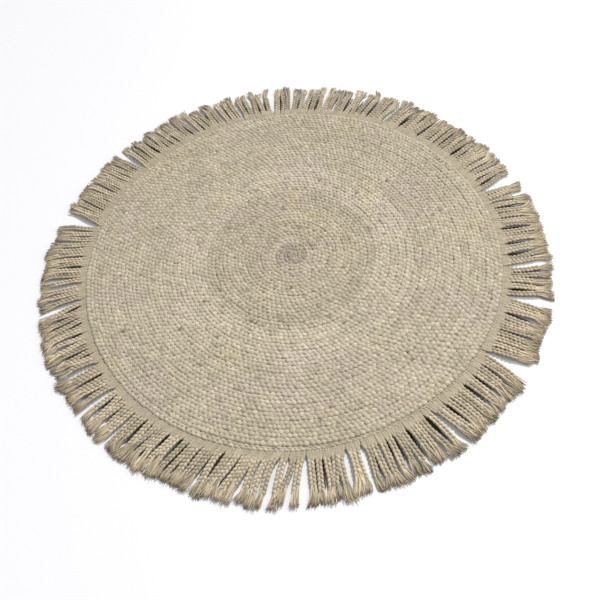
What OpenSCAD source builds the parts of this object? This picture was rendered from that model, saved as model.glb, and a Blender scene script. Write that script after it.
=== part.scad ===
// Round area rug: a flat three-strand jute braid wound in a spiral, its rounds sewn edge to
// edge, with a fringe of braided jute tassels sewn round the rim.
// +Z is up, the underside lies on Z = 0 and the origin is the centre of the underside.
// Azimuths are in degrees, counter-clockwise from +X seen from above.

/* [Field] */
// Rounds of braid from the centre to the rim
rounds = 27; // [14:1:40]
// Width of the braid
braid_w = 21.2; // [16:0.1:26]
// Thickness of the braid
braid_t = 10; // [8:0.5:14]

/* [Sewing] */
// Width of the seam between neighbouring rounds, which the thread fills
seam_w = 1; // [0.6:0.1:1.5]
// Height of the sewing thread's band inside the seam
thread_h = 3; // [1:0.5:3.5]

/* [Fringe] */
// How far the tassels reach beyond the rim
fringe_reach = 145; // [80:5:170]
// Groups of neighbouring tassels round the rim
groups = 50; // [40:1:57]
// Least distance along the rim from one tassel to the next
tassel_spacing = 18.8; // [18:0.1:25]
// Width of a tassel at the rim
tassel_root_w = 15; // [8:0.5:15.5]
// Width of a tassel's loose end
tassel_tip_w = 15; // [8:0.5:15]
// Thickness of a tassel's braid
tassel_t = 9; // [6:0.5:10]
// Thickness of the loose end, which lies flatter
tassel_tip_t = 5; // [3:0.5:8]
// Share of a tassel that is braided, from the rim
braided_share = 0.7; // [0.5:0.05:0.9]
// Most that one tassel strays from the lean of its neighbours, in degrees
stray = 1; // [0:0.1:1]

/* [Hidden] */
// Where the fringe parts: azimuth, lean of the tassels just before it, lean just after it.
// A positive lean swings the tip counter-clockwise. The first row is repeated a turn later.
partings = [
    [-175, 8, 20],
    [-154, -4, 1],
    [-145, -9, 3],
    [-135, -6, 0],
    [-120, -16, -16],
    [-105, -22, -22],
    [-92, -12, 0],
    [-84, -8, -3],
    [-62, 6, 14],
    [-40, -12, 10],
    [-22, -11, 3],
    [-13, 8, 14],
    [5, -7, -2],
    [14, -4, 12],
    [46, -10, -8],
    [56, -16, -10],
    [63, -14, -10],
    [84, -8, -2],
    [90, -5, 6],
    [104, 14, 14],
    [119, 14, 14],
    [135, -5, 8],
    [160, -14, 5],
    [168, 12, 12],
    [177, 1, 6],
    [185, 8, 20]
];
// The fraction of the golden ratio, which spreads the strays without a pattern
golden = (sqrt(5) - 1) / 2;
// Azimuth at which the outermost round has tapered away, and its blunt end is cut
taper_cut = 40;
// How far a tassel's side view runs past the two ends that its plan view gives it
margin = 1;

pitch = braid_w + seam_w;
field_r = pitch * rounds - seam_w / 2;
// Half-turns above the X axis are centred on the origin, those below it half a pitch along X
below_x = pitch / 2;
thread_z = (braid_t - thread_h) / 2;
root_r = field_r + seam_w;
rug_r = root_r + fringe_reach;
tassels_per_group = floor(2 * PI * root_r / tassel_spacing / groups);
tassels = groups * tassels_per_group;
group_names = [for (g = [1:groups]) str("tassels_", g < 10 ? "0" : "", g)];
first_azimuth = partings[0][0];

$fn = 96;

// The number between 0 and 1 that belongs to tassel i
function spread(i) = i * golden - floor(i * golden);

function azimuth(i) = first_azimuth + (i + 0.5) * 360 / tassels;

// The lean at azimuth a, which changes evenly from each parting to the next
function lean_between(a, p, q) = p[2] + (q[1] - p[2]) * (a - p[0]) / (q[0] - p[0]);
function combed_lean(a) = [
    for (k = [0:len(partings) - 2])
        if (a >= partings[k][0] && a < partings[k + 1][0])
            lean_between(a, partings[k], partings[k + 1])
][0];
function lean(i) = combed_lean(azimuth(i)) + stray * (2 * spread(i) - 1);

// Length along a tassel that leans, from the rim to the circle of the trimmed tips
function tassel_length(l) = sqrt(pow(rug_r, 2) - pow(root_r * sin(l), 2)) - root_r * cos(l);

// The half of the floor plan on the +Y side of the X axis
module half_plane() {
    translate([-rug_r, 0]) square([2 * rug_r, rug_r]);
}

// Half a turn of a strip with this width, seen from above, on the +Y side or the -Y side
module strip_above(middle, width) {
    intersection() {
        difference() {
            circle(r = middle + width / 2);
            circle(r = middle - width / 2);
        }
        half_plane();
    }
}
module strip_below(middle, width) {
    translate([below_x, 0]) mirror([0, 1]) strip_above(middle, width);
}

// The braid's first end, rounded off at the centre of the rug
module braid_start() {
    translate([below_x, 0])
        mirror([0, 1])
            intersection() {
                circle(d = braid_w);
                half_plane();
            }
}

// Everything past the blunt end of the outermost round, seen along the winding
module past_taper() {
    rotate(-taper_cut) square(rug_r);
}

// The last half-turn narrows to nothing, so that the rim ends up a true circle
module braid_taper() {
    difference() {
        intersection() {
            circle(r = field_r);
            mirror([0, 1]) half_plane();
        }
        translate([below_x, 0]) circle(r = pitch * rounds - braid_w / 2);
        past_taper();
    }
}

module field_braid() {
    color([0.73, 0.67, 0.54])
        linear_extrude(braid_t) {
            braid_start();
            for (k = [0:rounds - 1]) strip_above(pitch * (k + 0.5), braid_w);
            for (k = [1:rounds - 1]) strip_below(pitch * k, braid_w);
            braid_taper();
        }
}

// The thread follows the seam from the braid's first end to its taper
module seam_thread() {
    color([0.80, 0.75, 0.63])
        translate([0, 0, thread_z])
            linear_extrude(thread_h) {
                for (k = [1:rounds - 1]) strip_above(pitch * k, seam_w);
                for (k = [0:rounds - 2]) strip_below(pitch * (k + 0.5), seam_w);
                difference() {
                    strip_below(pitch * (rounds - 0.5), seam_w);
                    past_taper();
                }
            }
}

// The seam between the rim and the tassels' roots
module rim_thread() {
    color([0.60, 0.54, 0.42])
        rotate_extrude()
            translate([field_r, thread_z]) square([seam_w, thread_h]);
}

// Tassel i from above: its root lies along the rim, its tip square to its own length
module tassel_outline(l, len) {
    tip = [len * cos(l), len * sin(l)];
    half_tip = [-sin(l), cos(l)] * tassel_tip_w / 2;
    polygon([
        [0, -tassel_root_w / 2],
        tip - half_tip,
        tip + half_tip,
        [0, tassel_root_w / 2]
    ]);
}

// Tassels from the side: the braid has one thickness and the loose end thins out
module tassel_profile(len) {
    braided = len * braided_share;
    polygon([
        [-margin, 0],
        [len + margin, 0],
        [len + margin, tassel_tip_t],
        [braided, tassel_t],
        [-margin, tassel_t]
    ]);
}

module tassel(i) {
    l = lean(i);
    len = tassel_length(l);
    rotate([0, 0, azimuth(i)])
        translate([root_r, 0, 0])
            intersection() {
                linear_extrude(tassel_t) tassel_outline(l, len);
                rotate([90, 0, l])
                    translate([0, 0, -rug_r / 2])
                        linear_extrude(rug_r) tassel_profile(len);
            }
}

// One group of neighbouring tassels, each a solid of its own
module tassel_group(g) {
    color([0.68, 0.61, 0.46])
        for (i = [0:tassels_per_group - 1]) tassel(g * tassels_per_group + i);
}

field_braid();
seam_thread();
rim_thread();
for (g = [0:groups - 1])
    tassel_group(g);
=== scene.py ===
"""The looks of a round braided jute rug with a tassel fringe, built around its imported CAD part.

Everything is in metres, in the part's own frame: +Z up, the underside on Z = 0, and the origin at
the centre of the underside. The rug has no joints, so every piece rides on the one body.
"""

import math

import bpy
import numpy as np
from mathutils import Matrix, Vector


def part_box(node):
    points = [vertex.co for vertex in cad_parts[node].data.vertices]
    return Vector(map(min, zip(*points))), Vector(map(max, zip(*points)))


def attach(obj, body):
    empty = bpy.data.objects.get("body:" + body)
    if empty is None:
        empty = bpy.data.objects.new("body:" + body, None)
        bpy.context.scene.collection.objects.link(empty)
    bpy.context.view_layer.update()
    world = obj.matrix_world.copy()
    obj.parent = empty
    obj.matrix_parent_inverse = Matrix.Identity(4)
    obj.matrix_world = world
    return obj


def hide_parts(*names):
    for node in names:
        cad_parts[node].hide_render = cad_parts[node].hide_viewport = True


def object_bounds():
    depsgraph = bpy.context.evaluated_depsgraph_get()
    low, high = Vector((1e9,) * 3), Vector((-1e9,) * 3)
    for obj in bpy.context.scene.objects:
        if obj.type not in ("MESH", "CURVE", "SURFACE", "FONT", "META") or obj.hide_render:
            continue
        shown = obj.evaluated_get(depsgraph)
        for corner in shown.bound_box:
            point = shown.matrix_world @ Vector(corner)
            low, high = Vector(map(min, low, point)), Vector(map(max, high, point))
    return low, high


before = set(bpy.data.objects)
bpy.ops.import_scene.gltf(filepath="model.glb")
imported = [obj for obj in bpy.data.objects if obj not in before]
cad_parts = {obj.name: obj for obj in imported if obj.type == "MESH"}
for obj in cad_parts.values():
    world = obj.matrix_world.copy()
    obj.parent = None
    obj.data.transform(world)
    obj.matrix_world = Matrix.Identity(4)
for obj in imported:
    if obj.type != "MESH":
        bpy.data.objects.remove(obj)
cad_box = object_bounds()

BODY = "root"
MM = 0.001
TURN = 2 * math.pi

# ---------------------------------------------------------------- sizes from the frame

# What the boxes of the CAD spiral don't give: its rounds of braid, and the azimuth at which the
# tapered end of the outermost round is cut off blunt
ROUNDS = 27
TAPER_CUT = math.radians(-40)

field_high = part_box("field_braid")[1]
FIELD_R = field_high.x
BRAID_T = field_high.z
RIM_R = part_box("rim_thread")[1].x
SEAM_W = RIM_R - FIELD_R
PITCH = (FIELD_R + SEAM_W / 2) / ROUNDS
BRAID_W = PITCH - SEAM_W
# Half-turns above the X axis are centred on the origin, those below it here
BELOW_X = PITCH / 2
# Radius of the field's last full half-turn, past which the braid tapers away
TAPER_IN_R = PITCH * ROUNDS - BRAID_W / 2

# Radius of the whole rug with its fringe
RUG_R = cad_box[1][0]

TASSEL_NODES = sorted(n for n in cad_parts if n.startswith("tassels_"))


# ---------------------------------------------------------------- helpers


def ease(t):
    """An even S from 0 to 1 as t goes from 0 to 1."""
    return t * t * (3 - 2 * t)


def smooth(x, low, high):
    """0 below low, 1 above high, and an even S between them."""
    return ease(np.clip((x - low) / (high - low), 0, 1))


def drift(rng, s, wave):
    """Random numbers from about -1 to 1 that change smoothly along s, over about one wave."""
    first = s.min()
    knots = rng.uniform(-1, 1, int((s.max() - first) / wave) + 3)
    at = (s - first) / wave
    low = at.astype(int)
    t = ease(at - low)
    return knots[low] * (1 - t) + knots[low + 1] * t


def clouds(rng, plan, size):
    """Random numbers from -1 to 1 that change smoothly over the floor plan, over about size."""
    cells = int(2 * RUG_R / size) + 3
    knots = rng.uniform(-1, 1, (cells, cells))
    inside_last = cells - 1.001
    at = np.clip((plan + RUG_R) / size, 0, inside_last)
    low = at.astype(int)
    t = ease(at - low)
    x, y = low[..., 0], low[..., 1]
    near = knots[x, y] * (1 - t[..., 0]) + knots[x + 1, y] * t[..., 0]
    far = knots[x, y + 1] * (1 - t[..., 0]) + knots[x + 1, y + 1] * t[..., 0]
    return near * (1 - t[..., 1]) + far * t[..., 1]


def unit(v):
    """These vectors at length 1."""
    return v / np.maximum(np.linalg.norm(v, axis=-1, keepdims=True), 1e-12)


def ring_line(radius, azimuth, height):
    """The points of a line round the rug's axis."""
    return np.column_stack([radius * np.cos(azimuth), radius * np.sin(azimuth), height])


# Yarns are kept this far above the floor
FLOOR_GAP = 0.1 * MM


def lie_on_floor(rings):
    """Presses flat, in place, whatever part of these rings would be in the floor."""
    rings[..., 2] = np.maximum(rings[..., 2], FLOOR_GAP)


class Shape:
    """Gathers tubes, with the colour and the grain direction of each point, into one mesh."""

    def __init__(self):
        self.points, self.dyes, self.grains, self.faces, self.count = [], [], [], [], 0

    def add(self, rings, dye, grain):
        """A closed tube through rings (rings, sides, 3), with dye and grain of the same shape."""
        n, m = rings.shape[:2]
        start = self.count + np.arange(n - 1)[:, None] * m
        here, after = np.arange(m), (np.arange(m) + 1) % m
        corners = [start + here, start + after, start + m + after, start + m + here]
        self.faces.append(np.stack(corners, axis=-1).reshape(-1, 4))
        self.faces.append((self.count + here[::-1])[None])
        self.faces.append((self.count + (n - 1) * m + here)[None])
        self.points.append(rings.reshape(-1, 3))
        self.dyes.append(np.broadcast_to(dye, rings.shape).reshape(-1, 3))
        self.grains.append(grain.reshape(-1, 3))
        self.count += n * m

    def piece(self, name, material, slot, replaces=()):
        """Makes the mesh object, and puts it on the body."""
        mesh = bpy.data.meshes.new(name)
        points = np.concatenate(self.points)
        sizes = np.concatenate([np.full(len(f), f.shape[1], np.int32) for f in self.faces])
        corners = np.concatenate([f.ravel() for f in self.faces])
        mesh.vertices.add(len(points))
        mesh.vertices.foreach_set("co", points.astype(np.float32).ravel())
        mesh.loops.add(len(corners))
        mesh.loops.foreach_set("vertex_index", corners.astype(np.int32))
        mesh.polygons.add(len(sizes))
        mesh.polygons.foreach_set("loop_start", (np.cumsum(sizes) - sizes).astype(np.int32))
        mesh.polygons.foreach_set("use_smooth", np.ones(len(sizes), bool))
        dye = mesh.attributes.new("dye", "FLOAT_COLOR", "POINT")
        rgba = np.ones((len(points), 4), np.float32)
        rgba[:, :3] = np.concatenate(self.dyes)
        dye.data.foreach_set("color", rgba.ravel())
        grain = mesh.attributes.new("grain", "FLOAT_VECTOR", "POINT")
        grain.data.foreach_set("vector", np.concatenate(self.grains).astype(np.float32).ravel())
        mesh.update(calc_edges=True)
        mesh.materials.append(material)
        piece = bpy.data.objects.new(name, mesh)
        bpy.context.scene.collection.objects.link(piece)
        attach(piece, BODY)
        if replaces:
            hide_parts(*replaces)
        return piece


def swept(line, half_w, half_t, sides, turn=0.0, flute=0.0, pressed=1.0):
    """Rings along a line, oval and level across it, and the same rings on a straightened line.

    half_w and half_t are the oval's half width and half thickness, turn its roll in radians, and
    flute how deep the valleys between its plies are, as a share. Plies are two points wide. A
    pressed under 1 flattens the oval's top and bottom.
    """
    n = len(line)
    ahead = unit(np.gradient(line, axis=0))
    level = unit(np.cross((0.0, 0.0, 1.0), ahead))
    over = np.cross(ahead, level)
    angle = np.arange(sides) * TURN / sides + np.broadcast_to(turn, n)[:, None]
    swell = 1 + flute * np.where(np.arange(sides) % 2, -1.0, 1.0)
    across = np.broadcast_to(half_w, n)[:, None] * np.cos(angle) * swell
    bulge = np.sign(np.sin(angle)) * np.abs(np.sin(angle)) ** pressed
    upward = np.broadcast_to(half_t, n)[:, None] * bulge * swell
    rings = line[:, None] + across[..., None] * level[:, None] + upward[..., None] * over[:, None]
    along = np.concatenate([[0], np.cumsum(np.linalg.norm(np.diff(line, axis=0), axis=1))])
    grain = np.stack([across, upward, np.broadcast_to(along[:, None], across.shape)], axis=-1)
    return rings, grain


# ---------------------------------------------------------------- materials

# Mean linear colours of the jute in the field and in the tassels, of the sewing thread, and of the
# flecks of bark in the jute
JUTE = np.array([0.565, 0.495, 0.370])
TASSEL_JUTE = JUTE * (0.98, 0.95, 0.92)
THREAD = np.array([0.66, 0.58, 0.44])
DARK_FLECK = np.array([0.16, 0.11, 0.06])


def fibre_material(name, fine, streak, depth, sheen):
    """Jute: the dye of each point, streaked along the fibres, with their relief and their gloss.

    fine is the width of one fibre, streak the width of a yarn's streaks and depth the height of
    the fibres' relief, in metres.
    """
    material = bpy.data.materials.new(name)
    material.use_nodes = True
    tree = material.node_tree
    nodes, links = tree.nodes, tree.links
    shader = nodes["Principled BSDF"]
    shader.inputs["Specular IOR Level"].default_value = 0.15
    shader.inputs["Sheen Weight"].default_value = sheen
    shader.inputs["Sheen Roughness"].default_value = 0.6

    dye = nodes.new("ShaderNodeAttribute")
    dye.attribute_name = "dye"
    grain = nodes.new("ShaderNodeAttribute")
    grain.attribute_name = "grain"

    def streaks(width, length):
        """Noise drawn out along the fibres."""
        stretch = nodes.new("ShaderNodeMapping")
        stretch.inputs["Scale"].default_value = (1 / width, 1 / width, 1 / length)
        links.new(grain.outputs["Vector"], stretch.inputs["Vector"])
        noise = nodes.new("ShaderNodeTexNoise")
        noise.inputs["Scale"].default_value = 1.0
        noise.inputs["Detail"].default_value = 2.0
        links.new(stretch.outputs["Vector"], noise.inputs["Vector"])
        return noise.outputs["Fac"]

    def ranged(value, low, high):
        """The middle of a noise, from 0.3 to 0.7, spread from low to high."""
        spread = nodes.new("ShaderNodeMapRange")
        spread.inputs["From Min"].default_value = 0.3
        spread.inputs["From Max"].default_value = 0.7
        spread.inputs["To Min"].default_value = low
        spread.inputs["To Max"].default_value = high
        links.new(value, spread.inputs["Value"])
        return spread.outputs["Result"]

    # A fibre shows for 14 times its width before it dives under, and a yarn's streak for 9
    fibres = streaks(fine, fine * 14)
    yarns = streaks(streak, streak * 9)
    product = nodes.new("ShaderNodeMath")
    product.operation = "MULTIPLY"
    links.new(ranged(fibres, 0.85, 1.15), product.inputs[0])
    links.new(ranged(yarns, 0.86, 1.14), product.inputs[1])
    shaded = nodes.new("ShaderNodeVectorMath")
    shaded.operation = "SCALE"
    links.new(dye.outputs["Color"], shaded.inputs[0])
    links.new(product.outputs["Value"], shaded.inputs["Scale"])
    links.new(shaded.outputs["Vector"], shader.inputs["Base Color"])
    links.new(ranged(yarns, 0.92, 0.70), shader.inputs["Roughness"])

    bump = nodes.new("ShaderNodeBump")
    bump.inputs["Strength"].default_value = 0.6
    bump.inputs["Distance"].default_value = depth
    links.new(fibres, bump.inputs["Height"])
    links.new(bump.outputs["Normal"], shader.inputs["Normal"])
    return material


def floor_material():
    """A pale plain floor, a little uneven in its gloss."""
    material = bpy.data.materials.new("pale_floor")
    material.use_nodes = True
    nodes, links = material.node_tree.nodes, material.node_tree.links
    shader = nodes["Principled BSDF"]
    shader.inputs["Base Color"].default_value = (0.90, 0.895, 0.91, 1)
    noise = nodes.new("ShaderNodeTexNoise")
    noise.inputs["Scale"].default_value = 3.0
    spread = nodes.new("ShaderNodeMapRange")
    spread.inputs["To Min"].default_value = 0.55
    spread.inputs["To Max"].default_value = 0.75
    links.new(noise.outputs["Fac"], spread.inputs["Value"])
    links.new(spread.outputs["Result"], shader.inputs["Roughness"])
    return material


braid_jute = fibre_material(
    "braid_jute", fine=0.45 * MM, streak=1.6 * MM, depth=0.3 * MM, sheen=0.05
)
tassel_jute = fibre_material(
    "tassel_jute", fine=0.40 * MM, streak=1.4 * MM, depth=0.35 * MM, sheen=0.05
)
core_jute = fibre_material("core_jute", fine=0.45 * MM, streak=2.0 * MM, depth=0.3 * MM, sheen=0.0)
sewing_thread = fibre_material(
    "sewing_thread", fine=0.25 * MM, streak=0.6 * MM, depth=0.1 * MM, sheen=0.1
)


# ---------------------------------------------------------------- the field's spiral


def half_turn(h):
    """Radius of the braid's centreline in half-turn h. Even ones lie above the X axis."""
    return PITCH * (h + 1) / 2


FULL_HALVES = 2 * ROUNDS - 1
HALF_STARTS = np.concatenate([[0], np.cumsum(math.pi * half_turn(np.arange(FULL_HALVES)))])
# The tapered end sweeps from azimuth 180 degrees round to its cut
TAPER_SWEEP = math.pi + TAPER_CUT
BRAID_END = HALF_STARTS[-1] + (FIELD_R + TAPER_IN_R) / 2 * TAPER_SWEEP
# The rounded first end reaches back from where the spiral starts
BRAID_START = -BRAID_W / 2


def spiral(s):
    """Where the braid's centreline is, s along it: its points in plan, the directions across it,
    outwards, and the braid's width there as a share of its full width."""
    h = np.clip(np.searchsorted(HALF_STARTS, s, side="right") - 1, 0, FULL_HALVES)
    above = h % 2 == 0
    radius = half_turn(h)
    angle = (s - HALF_STARTS[h]) / radius + np.where(above, 0.0, math.pi)
    centre_x = np.where(above, 0.0, BELOW_X)
    width = np.ones(len(s))

    taper = h == FULL_HALVES
    sweep = TAPER_SWEEP * (s - HALF_STARTS[-1]) / (BRAID_END - HALF_STARTS[-1])
    angle = np.where(taper, math.pi + sweep, angle)
    centre_x = np.where(taper, 0.0, centre_x)
    inside = BELOW_X * np.cos(angle) + np.sqrt(TAPER_IN_R**2 - (BELOW_X * np.sin(angle)) ** 2)
    radius = np.where(taper, (FIELD_R + inside) / 2, radius)
    width = np.where(taper, (FIELD_R - inside) / BRAID_W, width)

    cap = s < 0
    angle = np.where(cap, 0.0, angle)
    width = np.where(cap, np.sqrt(np.clip(1 - (s / BRAID_START) ** 2, 0, 1)), width)
    across = np.stack([np.cos(angle), np.sin(angle)], axis=-1)
    points = radius[:, None] * across
    points[:, 0] += centre_x
    points[:, 1] += np.where(cap, s, 0.0)
    return points, across, width


# ---------------------------------------------------------------- colour of the field

# How the jute's batches differ from ring to ring: radius as a share of the field's, then the
# brightness of red, green and blue
BATCHES = [
    (0.00, 0.75, 0.73, 0.75),
    (0.05, 0.75, 0.73, 0.75),
    (0.07, 0.96, 0.95, 0.94),
    (0.22, 0.96, 0.95, 0.94),
    (0.24, 1.00, 1.00, 0.98),
    (0.29, 0.99, 0.99, 0.97),
    (0.32, 0.96, 0.95, 0.94),
    (0.39, 0.93, 0.94, 0.91),
    (0.42, 1.05, 1.05, 1.06),
    (0.47, 1.08, 1.08, 1.09),
    (0.58, 1.08, 1.08, 1.09),
    (0.61, 0.98, 0.98, 0.97),
    (0.64, 1.01, 1.01, 1.00),
    (1.00, 0.98, 0.98, 0.97),
]
# What a patch of greyer or of yellower jute adds to the brightness of red, green and blue
GREY_TINT = np.array([0.02, -0.01, 0.06])
GOLD_TINT = np.array([0.01, -0.01, -0.09])
# Painted shade: the brightness of the dye in the valleys between a strand's plies
VALLEY_SHADE = 0.80


def batch(r):
    """The tint of the jute at these distances from the centre."""
    rows = np.array(BATCHES)
    return np.stack([np.interp(r / FIELD_R, rows[:, 0], rows[:, k]) for k in (1, 2, 3)], axis=-1)


def weathering(plan):
    """The tint of the patches of greyer, yellower and lighter jute that run across the rounds."""
    rng = np.random.default_rng(3)
    greyer = clouds(rng, plan, 85 * MM) + 0.5 * clouds(rng, plan, 40 * MM)
    yellower = clouds(rng, plan, 110 * MM) + 0.5 * clouds(rng, plan, 30 * MM)
    light = 1 + 0.05 * clouds(rng, plan, 60 * MM)
    grey = smooth(greyer, 0.05, 0.9)[..., None] * GREY_TINT
    gold = smooth(yellower, 0.3, 1.1)[..., None] * GOLD_TINT
    return light[..., None] * (1 + grey + gold)


def field_tint(plan):
    """The tint of the field's jute at these points of the floor plan."""
    return batch(np.hypot(plan[:, 0], plan[:, 1])) * weathering(plan)


def flecked(rng, s, dye, count):
    """The dye (rings, sides, 3) of rings s along a strand, with dark flecks of bark here and
    there."""
    sides = dye.shape[1]
    around = np.arange(sides)
    for at in rng.uniform(s.min(), s.max(), count):
        length = rng.uniform(2.0, 5.0) * MM
        near = np.exp(-(((s - at) / length) ** 2))
        away = (around - rng.integers(sides) + sides / 2) % sides - sides / 2
        strength = rng.uniform(0.5, 1.0)
        share = (near[:, None] * np.exp(-(away**2) / 5) * strength)[..., None]
        dye = dye * (1 - share) + DARK_FLECK * share
    return dye


def strand_dye(rng, s, plan, sides, flecks):
    """Colour of each point of a strand: its batch, its drift, its plies', the painted shade between
    them and its flecks.
    """
    tone = 1 + 0.13 * drift(rng, s, 11 * MM) + 0.04 * drift(rng, s, 400 * MM)
    ply_tones = [1 + 0.13 * drift(rng, s, 40 * MM) for _ in range(sides // 2)]
    shade = np.repeat(np.stack(ply_tones, axis=1), 2, axis=1)
    # Painted shade: the valleys between the plies are darkened
    shade[:, 1::2] *= VALLEY_SHADE
    dye = (JUTE * field_tint(plan))[:, None] * (tone[:, None] * shade)[..., None]
    return flecked(rng, s, dye, flecks)


# ---------------------------------------------------------------- field: strands and core

# The braid's own make-up: one strand's period along the braid, its swing to each side and its
# rise and fall, and the half width and half thickness of its oval section
PERIOD = 40.5 * MM
SWING = PITCH * 0.259
RISE = BRAID_T * 0.20
STRAND_HALF_W = PITCH * 0.30
STRAND_HALF_T = BRAID_T * 0.33
RINGS_A_PERIOD = 16
# How much later than midway to the edge a strand is at its highest, as a phase in radians
CREST_LAG = math.radians(57)
# How much wider and thicker a strand is where it folds over at the braid's edges, as a share
EDGE_SWELL = 0.06
STRAND_SIDES = 12
# Depth of the valleys between a strand's plies, the length in which the plies go round once, and
# how flat the strands are pressed
FLUTE = 0.10
PLY_TWIST = 190 * MM
PRESSED = 0.8
# Dark flecks in each of the lengths in which a strand is made, from the centre out
FLECKS = (150, 60, 60, 60)
LENGTHS = len(FLECKS)
# How far the strands stop short of the braid's two ends
END_GAP = 0.2 * MM


def braid_swing(phase):
    """How far across its braid a strand is, in swings, at this phase of its period."""
    return np.sin(phase)


def braid_rise(phase):
    """How far above its braid's middle a strand is, in rises, at this phase of its period."""
    return np.sin(2 * phase - CREST_LAG)


def braid_wander(s):
    """What the three strands share, s along the braid: the phase by which the braider worked
    tighter or looser, how high the braid lies, and how far it strays sideways."""
    rng = np.random.default_rng(7)
    pull = 2.4 * drift(rng, s, 250 * MM) + 0.45 * drift(rng, s, 38 * MM)
    level = 0.4 * MM * drift(rng, s, 45 * MM)
    stray = 1.0 * MM * drift(rng, s, 24 * MM)
    return pull, level, stray


def strand_wander(s, number):
    """What is one strand's own, s along the braid: how far it slips sideways, its plumpness and
    how far it lifts."""
    rng = np.random.default_rng(20 + number)
    slip = 1.2 * MM * drift(rng, s, 12 * MM)
    plump = 1 + 0.15 * drift(rng, s, 11 * MM)
    lift = 0.45 * MM * drift(rng, s, 12 * MM)
    return slip, plump, lift


def braid_strand(number, length_number):
    """One length of one of the field's three strands."""
    count = int((BRAID_END - BRAID_START) / (PERIOD / RINGS_A_PERIOD)) + 1
    s = np.linspace(BRAID_START + END_GAP, BRAID_END - END_GAP, count)
    points, across, width = spiral(s)
    pull, level, stray = braid_wander(s)
    slip, plump, lift = strand_wander(s, number)
    phase = TURN * (s / PERIOD + number / 3) + pull
    swing = width * (SWING * braid_swing(phase) + slip + stray)
    full = width**0.5
    height = BRAID_T / 2 + RISE * full * braid_rise(phase) + level + lift
    line = np.column_stack([points + across * swing[:, None], height])
    fat = plump * (1 + EDGE_SWELL * np.abs(braid_swing(phase)))

    # Each length runs on to the second ring of the next one
    first = int(count * length_number / LENGTHS)
    last = min(int(count * (length_number + 1) / LENGTHS) + 2, count)
    part = slice(first, last)
    rings, grain = swept(
        line[part],
        (STRAND_HALF_W * width * fat)[part],
        (STRAND_HALF_T * full * fat)[part],
        STRAND_SIDES,
        turn=s[part] * TURN / PLY_TWIST,
        flute=FLUTE,
        pressed=PRESSED,
    )
    lie_on_floor(rings)
    # Each length's streaks start elsewhere in the noise, so that none repeats
    grain[..., 2] += 3.0 * number + 10.0 * length_number
    rng = np.random.default_rng(100 + 10 * number + length_number)
    dye = strand_dye(rng, s[part], points[part], STRAND_SIDES, FLECKS[length_number])
    shape = Shape()
    shape.add(rings, dye, grain)
    return shape.piece(f"braid_strand_{'abc'[number]}{length_number + 1}", braid_jute, "jute_braid")


# How much of a round's pitch and of the braid's thickness the core fills to each side, how much
# darker than the strands it is painted, as shade deep inside the braid, and how flat it is pressed
CORE_HALF_W = PITCH * 0.49
CORE_HALF_T = BRAID_T * 0.25
CORE_SHADE = 0.85
CORE_PRESSED = 0.25
CORE_SIDES = 16


def braid_core():
    """The yarns packed inside the braid, where its three strands cross."""
    first, last = BRAID_START + 1.5 * MM, BRAID_END - 2 * MM
    # Rings lie closer together in the tight rounds at the centre
    tight_end = 300 * MM
    s = np.arange(first, last, 6 * MM)
    s = np.concatenate([np.arange(first, tight_end, 2 * MM), s[s > tight_end]])
    points, _, width = spiral(s)
    line = np.column_stack([points, np.full(len(s), BRAID_T / 2)])
    half_w, half_t = CORE_HALF_W * width, CORE_HALF_T * width**0.5
    rings, grain = swept(line, half_w, half_t, CORE_SIDES, pressed=CORE_PRESSED)
    shape = Shape()
    # The core's dye is painted shade, darker than the strands
    shape.add(rings, (JUTE * CORE_SHADE * field_tint(points))[:, None], grain)
    return shape.piece("braid_core", core_jute, "jute_braid", ["field_braid"])


# ---------------------------------------------------------------- stitching

# Radius of the thread in a seam, and of the one at the rim
SEAM_THREAD_R = 0.715 * MM
RIM_THREAD_R = 0.66 * MM
# Half width and half thickness of the flatter thread across the tassels' roots
ROOT_THREAD_W = 0.825 * MM
ROOT_THREAD_T = 0.55 * MM
# One stitch along a seam
STITCH = PERIOD / 3
# The seam's zigzag: how far it swings to each side, how high over the braid's middle it lies, and
# how far it rises and falls
SEAM_SWING = 2.0 * MM
SEAM_LIFT = 1.5 * MM
SEAM_RISE = 1.3 * MM
# The stitches that hold the tassels at the rim: how many to a tassel, how many rings make one,
# their swing and their rise
RIM_STITCHES = 2
RINGS_A_STITCH = 8
RIM_SWING = 0.9 * MM
RIM_RISE = 3.3 * MM
# Rows of stitches across the tassels' flat roots: how far from the rim they lie, how high, how far
# they rise and fall, how many there are to one at the rim, and their brightness
ROOT_STITCHES = (4.5 * MM, 12 * MM)
ROOT_TOP = 6.6 * MM
ROOT_RISE = 0.9 * MM
ROOT_BEAT = 1.25
ROOT_THREAD = THREAD * 0.9


def seam_thread():
    """The thread that zigzags across the seam from one round to the next."""
    # It ends in the last round but one, beside the blunt end of the tapered one
    last_half = FULL_HALVES - 2
    end = HALF_STARTS[last_half] + TAPER_SWEEP * half_turn(last_half)
    s = np.arange(2 * MM, end, STITCH / 6)
    points, across, _ = spiral(s)
    rng = np.random.default_rng(31)
    beat = TURN * s / STITCH + drift(rng, s, 200 * MM)
    side = PITCH / 2 + SEAM_SWING * np.sin(beat)
    height = BRAID_T / 2 + SEAM_LIFT + SEAM_RISE * np.cos(beat)
    line = np.column_stack([points + across * side[:, None], height])
    rings, grain = swept(line, SEAM_THREAD_R, SEAM_THREAD_R, sides=5)
    shape = Shape()
    shape.add(rings, THREAD * (1 + 0.05 * drift(rng, s, 100 * MM))[:, None, None], grain)
    return shape.piece("seam_stitching", sewing_thread, "thread", ["seam_thread"])


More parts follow.
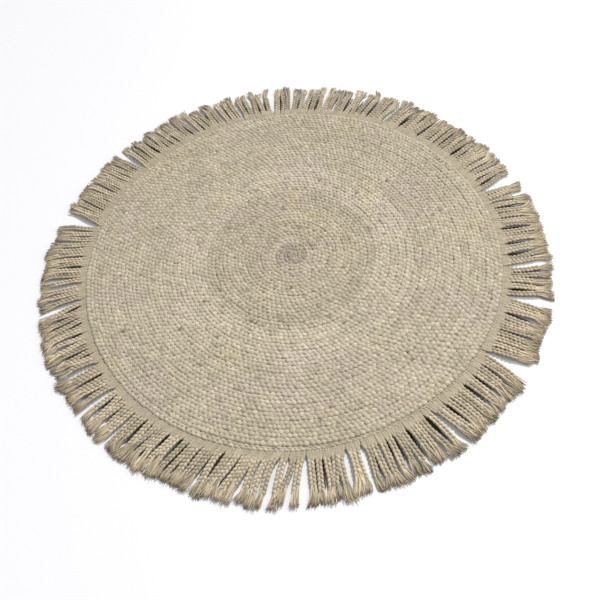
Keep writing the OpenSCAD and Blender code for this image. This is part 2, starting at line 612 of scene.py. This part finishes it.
def rim_thread(tassel_count):
    """The stitches that hold the tassels' roots: at the rim, and in rows on the roots."""
    stitches = RIM_STITCHES * tassel_count
    azimuth = np.linspace(0, TURN, stitches * RINGS_A_STITCH + 1)
    rng = np.random.default_rng(32)
    beat = azimuth * stitches
    radius = RIM_R - SEAM_W / 2 + RIM_SWING * np.sin(beat) + 0.3 * MM * drift(rng, azimuth, 0.1)
    line = ring_line(radius, azimuth, BRAID_T / 2 + RIM_RISE * np.cos(beat))
    rings, grain = swept(line, RIM_THREAD_R, RIM_THREAD_R, sides=6)
    shape = Shape()
    shape.add(rings, THREAD, grain)
    for reach in ROOT_STITCHES:
        radius = RIM_R + reach + 0.5 * MM * drift(rng, azimuth, 0.05)
        height = ROOT_TOP + ROOT_RISE * np.cos(beat * ROOT_BEAT + reach)
        line = ring_line(radius, azimuth, height)
        rings, grain = swept(line, ROOT_THREAD_W, ROOT_THREAD_T, sides=6)
        shape.add(rings, ROOT_THREAD, grain)
    return shape.piece("rim_stitching", sewing_thread, "thread", ["rim_thread"])


# ---------------------------------------------------------------- fringe: where its tassels lie


def solids(node):
    """The corners of each separate solid in a CAD node."""
    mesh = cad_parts[node].data
    points = np.empty(len(mesh.vertices) * 3, np.float32)
    mesh.vertices.foreach_get("co", points)
    points, same = np.unique(points.reshape(-1, 3).round(6), axis=0, return_inverse=True)
    label = np.arange(len(points))
    corners = [same.ravel()[list(f.vertices)] for f in mesh.polygons]
    changed = True
    while changed:
        changed = False
        for face in corners:
            low = label[face].min()
            if (label[face] != low).any():
                label[face] = low
                changed = True
    return [points[label == k].astype(float) for k in np.unique(label)]


def tassel_lines(node):
    """(root, tip) on the floor of each tassel in a node, from the lowest edges of its solid, in
    their order round the rim, counter-clockwise."""
    found = []
    for points in solids(node):
        foot = points[points[:, 2] < MM][:, :2]
        foot = foot[np.argsort(np.hypot(foot[:, 0], foot[:, 1]))]
        found.append((foot[:2].mean(0), foot[-2:].mean(0)))
    onward = np.array([-found[0][0][1], found[0][0][0]])
    return sorted(found, key=lambda line: float(line[0] @ onward))


# ---------------------------------------------------------------- fringe: tassels

# A tassel's braid: its strands' period, swing and rise, the half width and half thickness of a
# strand, its valleys' depth and the painted shade that darkens them, and the length in which its
# plies go round once
TASSEL_PERIOD = 33 * MM
TASSEL_SWING = 4.9 * MM
TASSEL_RISE = 2.5 * MM
TASSEL_HALF_W = 4.0 * MM
TASSEL_HALF_T = 2.7 * MM
TASSEL_FLUTE = 0.07
TASSEL_VALLEY_SHADE = 0.16
TASSEL_TWIST = 160 * MM
TASSEL_SIDES = 10
TASSEL_STEP = TASSEL_PERIOD / 14
# How long a tassel's hump is, as a share of the tassel
HUMP_SHARE = 0.25
# How high a tassel's middle lies, how much lower its end that is tucked in at the rim, and how
# much lower its loose end, which settles
TASSEL_Z = 4.6 * MM
TUCK = 1.2 * MM
SETTLE = 1.2 * MM
# The strands at the root, side by side and flat: half width, half thickness, how far apart they
# are, and their brightness, which is the same for every tassel
ROOT_HALF_W = 4.7 * MM
ROOT_HALF_T = 2.4 * MM
ROOT_GAP = 6.1 * MM
ROOT_TONE = 0.86
# How far to each side of the root's end the strands go from flat to braided
ROOT_BLEND = 7 * MM
# How far before the braid's end its loose yarns start, and how far past it its strands still run
LOOSE_BEFORE = 7 * MM
OVERRUN = 6 * MM
# How much a strand thins out inside the brush
CLOSED = 0.75
# How much each row of stitches pinches the root's strands, and how far to each side of it
PINCH = 0.12
PINCH_REACH = 2 * MM
# The loose yarns: how many come out of each strand, how many thin wisps there are besides, and how
# much further than the others the wisps spread
YARNS_A_STRAND = 11
WISPS = 5
WISP_SPREAD = 1.3
YARN_RINGS = 9
# A strand this far aside where its yarns start is at the edge of the braid
STRAND_OUT = 4.6 * MM
# How far from its strand's middle a yarn may come out, sideways and up
YARN_PLACE = np.array([2.6, 1.8]) * MM
# How much browner the average yarn is at its end, as brightness of red, green and blue
TIP_BROWN = np.array([0.98, 0.96, 0.90])
# The tint of the shade low down between the yarns
SHADE_TINT = np.array([1.2, 1.0, 0.75])


def shaded_low(dye, rings, dark, clear):
    """Darkens and browns a dye towards the floor, where little light gets in between the yarns: to
    about this share of it at the floor, and not at all above the height clear."""
    low = dark * SHADE_TINT
    return dye * (low + (1 - low) * smooth(rings[..., 2], 0, clear)[..., None])


class Tassel:
    """One tassel: a flat root, a three-strand braid and a loose brush of yarns."""

    def __init__(self, rng, root, tip, nudge):
        """Picks at random what sets it apart. Its neighbour pulls its tip sideways by nudge."""
        self.rng = rng
        self.root = root
        self.nudge = nudge
        self.length = np.linalg.norm(tip - root)
        self.ahead = (tip - root) / self.length
        self.side = np.array([-self.ahead[1], self.ahead[0]])
        # The fringe is more tousled towards +Y: from 0 at the X axis to 1 there
        back = max(math.sin(math.atan2(root[1], root[0])), 0)
        self.size = rng.uniform(0.92, 1.08)
        # How far along it its flat root and its braid end
        self.root_end = (24 + 6 * back + rng.uniform(-5, 4)) * MM
        self.braid_end = self.length * rng.uniform(0.60, 0.76)
        # A hump where the braid doesn't lie down on the floor, how far along it that is, and how
        # high its tip lies
        self.hump = rng.uniform(0, 1) ** 2 * (5 + 3 * back) * MM
        self.hump_at = rng.uniform(0.35, 0.75) * self.length
        self.tip_lift = rng.uniform(0, 1) ** (2 - back) * (4 + 6 * back) * MM
        # How far it bends sideways: in one arc, in an S, and at its loose end alone
        self.bow = rng.normal(0, 2.4) * MM
        self.wave = rng.normal(0, 1.9) * MM
        self.curl = rng.normal(0, 7.0 + 4 * back) * MM
        # The width over which its yarns spread, its brightness, how much shorter than the others
        # # it is cut, and how much darker its tip is painted, as shade
        self.spread = (rng.uniform(11.0, 18.0) - 3 * back) * MM
        self.tone = rng.uniform(0.84, 1.16)
        self.trim = rng.uniform(0, 13 + 6 * back) * MM
        self.tip_shade = rng.uniform(0.0, 0.55 + 0.2 * back)
        self.phase = rng.uniform(0, TURN)

    def middle(self, t):
        """Sideways shift and height of the tassel's own middle, t along it."""
        share = np.clip(t / self.length, 0, 1.1)
        loose = np.clip((t - self.braid_end) / (self.length - self.braid_end), 0, 1.1)
        shift = self.bow * np.sin(math.pi * share) + self.wave * np.sin(TURN * share)
        shift = shift + self.curl * loose**2 + self.nudge * share**1.5
        from_hump = (t - self.hump_at) / (HUMP_SHARE * self.length)
        height = TASSEL_Z + self.hump * np.exp(-(from_hump**2))
        tucked = 1 - smooth(t, -5 * MM, 4 * MM)
        return shift, height - TUCK * tucked + (self.tip_lift - SETTLE) * loose

    def placed(self, t, sideways, height):
        """The points t along the tassel, this far aside from its middle and above it."""
        shift, level = self.middle(t)
        plan = self.root + self.ahead * t[:, None] + self.side * (shift + sideways)[:, None]
        return np.column_stack([plan, level + height])

    def add_braid(self, shape):
        """Adds the three strands. Returns how far along the tassel its loose yarns start, and the
        sideways place and the height of each strand there."""
        rng = self.rng
        t = np.arange(-4 * MM, self.braid_end + OVERRUN, TASSEL_STEP)
        braided = smooth(t, self.root_end - ROOT_BLEND, self.root_end + ROOT_BLEND)
        closing = 1 - CLOSED * smooth(t, self.braid_end - 6 * MM, t[-1])
        rows = [np.exp(-(((t - reach) / PINCH_REACH) ** 2)) for reach in ROOT_STITCHES]
        pinched = PINCH * sum(rows)
        # Painted shade in the valleys between a braided strand's plies
        valley = 1 - TASSEL_VALLEY_SHADE * braided[:, None] * (np.arange(TASSEL_SIDES) % 2)
        loose_at = int(np.searchsorted(t, self.braid_end - LOOSE_BEFORE))

        def blended(at_root, in_braid):
            """A measure that goes from what it is at the root to what it is in the braid."""
            return (1 - braided) * at_root + braided * in_braid * self.size

        # The strands lie at the root in the order in which the braid takes them up
        taken_up = [braid_swing(self.phase + TURN * k / 3) for k in range(3)]
        ends = []
        for number in range(3):
            phase = TURN * ((t - self.root_end) / TASSEL_PERIOD + number / 3) + self.phase
            place = sorted(taken_up).index(taken_up[number]) - 1
            flat = place * ROOT_GAP + 0.8 * MM * drift(rng, t, 10 * MM)
            swing = blended(flat, TASSEL_SWING * braid_swing(phase))
            root_lift = rng.uniform(0.0, 0.8) * MM
            rise = blended(root_lift, TASSEL_RISE * braid_rise(phase)) * closing
            plump = (1 + 0.08 * drift(rng, t, 12 * MM) - pinched) * closing
            rings, grain = swept(
                self.placed(t, swing, rise),
                blended(ROOT_HALF_W, TASSEL_HALF_W) * plump,
                blended(ROOT_HALF_T, TASSEL_HALF_T) * plump,
                TASSEL_SIDES,
                turn=t * TURN / TASSEL_TWIST,
                flute=TASSEL_FLUTE,
            )
            lie_on_floor(rings)
            grain[..., 2] += rng.uniform(0, 50)
            tone = ROOT_TONE + (self.tone - ROOT_TONE) * braided
            tone = tone * (1 + (0.08 + 0.1 * braided) * drift(rng, t, 11 * MM))
            dye = TASSEL_JUTE * (tone[:, None] * valley)[..., None]
            shape.add(rings, shaded_low(dye, rings, dark=0.12, clear=8.5 * MM), grain)
            ends.append((swing[loose_at], rise[loose_at]))
        return t[loose_at], ends

    def add_brush(self, shape, start, ends):
        """Adds the loose yarns, from the strands' ends at start along the tassel."""
        by_side = sorted(ends)
        yarns = [(end, False) for end in by_side for _ in range(YARNS_A_STRAND)]
        yarns += [(by_side[self.rng.integers(3)], True) for _ in range(WISPS)]
        for (swing, rise), wisp in yarns:
            self.add_yarn(shape, start, swing, rise, wisp)

    def add_yarn(self, shape, start, swing, rise, wisp):
        """Adds one loose yarn, out of a strand at this sideways place and height."""
        rng = self.rng
        end = self.length - self.trim + rng.uniform(-10, 1) * MM
        t = np.linspace(start, end, YARN_RINGS)
        share = (t - start) / (end - start)
        place = rng.uniform(-1, 1, 2) * YARN_PLACE
        # Yarns keep roughly to their own strand's side of the brush
        lane = np.clip(swing / STRAND_OUT, -1, 1) * 0.5
        target = (lane + rng.uniform(-0.6, 0.6)) * self.spread * (WISP_SPREAD if wisp else 1.0)
        sag = rng.uniform(-2.6, 2.0) * MM
        wobble = rng.normal(0, 1.0) * MM * np.sin(share * rng.uniform(4, 9) + rng.uniform(0, 6))
        sideways = (swing + place[0]) * (1 - share) + target * share + wobble * share
        height = (rise + place[1]) * (1 - share) + sag * share
        if wisp:
            thick, sides = rng.uniform(0.3, 0.5) * MM, 3
        else:
            thick, sides = rng.uniform(1.15, 1.6) * (1 - 0.5 * share**2) * MM, 5
        rings, grain = swept(self.placed(t, sideways, height), thick, thick * 0.9, sides)
        lie_on_floor(rings)
        grain[..., 2] += rng.uniform(0, 50)
        brown = TIP_BROWN ** (rng.uniform(0, 2) * share[:, None, None])
        dye = TASSEL_JUTE * brown * self.tone * rng.uniform(0.60, 1.30)
        # Painted shade: the yarn darkens towards its tip
        dye = dye * (1.08 - self.tip_shade * share**2)[:, None, None]
        shape.add(rings, shaded_low(dye, rings, dark=0.25, clear=6.5 * MM), grain)


# Yarn ends that lie low between two neighbouring tassels, dyed dark as painted shade in the gap:
# how many, over what width, and their dye, which is painted shade
GAP_YARNS = 7
GAP_W = 11 * MM
GAP_RINGS = 8
GAP_SHADE_DYE = DARK_FLECK * 0.35
# The fringe parts where two tassels' tips are over this many times as far apart as their roots
PARTED = 1.32


def gap_shade_yarns(shape, rng, here, beyond):
    """Yarn ends dyed dark as painted shade, low between two neighbouring tassels, unless the fringe
    parts.
    """
    root, tip = (here[0] + beyond[0]) / 2, (here[1] + beyond[1]) / 2
    spacing = np.linalg.norm(beyond[0] - here[0])
    if np.linalg.norm(beyond[1] - here[1]) > PARTED * spacing:
        return
    side = unit(beyond[0] - here[0])
    out = np.linspace(0, 1, GAP_RINGS)
    for number in range(GAP_YARNS):
        share = np.linspace(0.02, rng.uniform(0.45, 0.75), GAP_RINGS)
        lane = ((number + 0.5) / GAP_YARNS - 0.5) * GAP_W
        aside = lane + rng.normal(0, 0.8) * MM * out**2
        plan = root + (tip - root) * share[:, None] + side * aside[:, None]
        thick = rng.uniform(0.9, 1.3) * MM * (1 - 0.5 * out)
        height = np.full(GAP_RINGS, rng.uniform(1.2, 2.2) * MM)
        rings, grain = swept(np.column_stack([plan, height]), thick, thick * 0.8, sides=5)
        grain[..., 2] += rng.uniform(0, 50)
        shape.add(rings, GAP_SHADE_DYE, grain)


def tassel_group(node, lines, following):
    """The tassels of one CAD node, as one piece; following is the next node's first line."""
    rng = np.random.default_rng(1000 + TASSEL_NODES.index(node))
    shape = Shape()
    # Neighbours cling to each other in pairs, some more closely than others
    first = rng.integers(2)
    cling = rng.uniform(-3, 6, 3) * MM
    for number, (root, tip) in enumerate(lines):
        pair, later = divmod(number + first, 2)
        tassel = Tassel(rng, root, tip, cling[pair] * (-1 if later else 1))
        tassel.add_brush(shape, *tassel.add_braid(shape))
    for here, beyond in zip(lines, [*lines[1:], following]):
        gap_shade_yarns(shape, rng, here, beyond)
    return shape.piece(node.replace("tassels", "fringe"), tassel_jute, "jute_tassel", [node])


# ---------------------------------------------------------------- camera, light, floor

# The camera looks down at the rug from a standing person's height, and is tipped a little
ELEVATION = math.radians(55.952)
ROLL = math.radians(-7.556)
DISTANCE = 1.9594
AIM = Vector((0.0103, -0.1543, 0))
LENS_MM = 42.05
SENSOR_MM = 36

# Colour and strength of the even light from all round
SKY = (0.97, 0.98, 1.0, 1)
SKY_STRENGTH = 0.44
# The sun's strength, its width in the sky and the way that its light goes
SUN_STRENGTH = 2.75
SUN_WIDTH = math.radians(8)
SUN_WAY = Vector((-1.2, -2.1, -2.2))
# The fill lamp's place, side and power in watts
FILL_PLACE = Vector((2.6, -0.4, 1.5))
FILL_SIZE = 1.8
FILL_POWER = 27
FLOOR_SIZE = 14


def camera():
    """The photograph's view."""
    back = Vector((0, -math.cos(ELEVATION), math.sin(ELEVATION)))
    level = Vector((1, 0, 0))
    rising = back.cross(level)
    right = math.cos(ROLL) * level + math.sin(ROLL) * rising
    top = math.cos(ROLL) * rising - math.sin(ROLL) * level
    data = bpy.data.cameras.new("camera")
    data.sensor_width = SENSOR_MM
    data.lens = LENS_MM
    eye = bpy.data.objects.new("camera", data)
    turned = Matrix((right, top, back)).transposed().to_4x4()
    eye.matrix_world = Matrix.Translation(AIM + back * DISTANCE) @ turned
    bpy.context.scene.collection.objects.link(eye)
    bpy.context.scene.camera = eye


def sky():
    """Even light from all round."""
    world = bpy.data.worlds.new("studio")
    world.use_nodes = True
    background = world.node_tree.nodes["Background"]
    background.inputs["Color"].default_value = SKY
    background.inputs["Strength"].default_value = SKY_STRENGTH
    bpy.context.scene.world = world


def add_lamp(name, data, place, way):
    """Adds a lamp with this light data, which shines this way."""
    lamp = bpy.data.objects.new(name, data)
    lamp.location = place
    lamp.rotation_euler = way.to_track_quat("-Z", "Y").to_euler()
    bpy.context.scene.collection.objects.link(lamp)


def studio():
    """A pale floor, a low sun from behind the rug, a fill lamp at its right and an even sky."""
    sky()
    sun = bpy.data.lights.new("key", "SUN")
    sun.energy = SUN_STRENGTH
    sun.angle = SUN_WIDTH
    add_lamp("key", sun, Vector(), SUN_WAY)
    fill = bpy.data.lights.new("fill", "AREA")
    fill.size = FILL_SIZE
    fill.energy = FILL_POWER
    add_lamp("fill", fill, FILL_PLACE, -FILL_PLACE)
    bpy.ops.mesh.primitive_grid_add(x_subdivisions=8, y_subdivisions=8, size=FLOOR_SIZE)
    floor = bpy.context.object
    floor.name = "floor"
    floor.data.materials.append(floor_material())
    bpy.context.scene.view_settings.view_transform = "Standard"


# ---------------------------------------------------------------- the scene

camera()
studio()
core = braid_core()
strands = [braid_strand(number, part) for number in range(3) for part in range(LENGTHS)]
fringe_lines = [tassel_lines(node) for node in TASSEL_NODES]
fringe = [
    tassel_group(node, lines, after[0])
    for node, lines, after in zip(TASSEL_NODES, fringe_lines, fringe_lines[1:] + fringe_lines[:1])
]
threads = [seam_thread(), rim_thread(sum(len(lines) for lines in fringe_lines))]
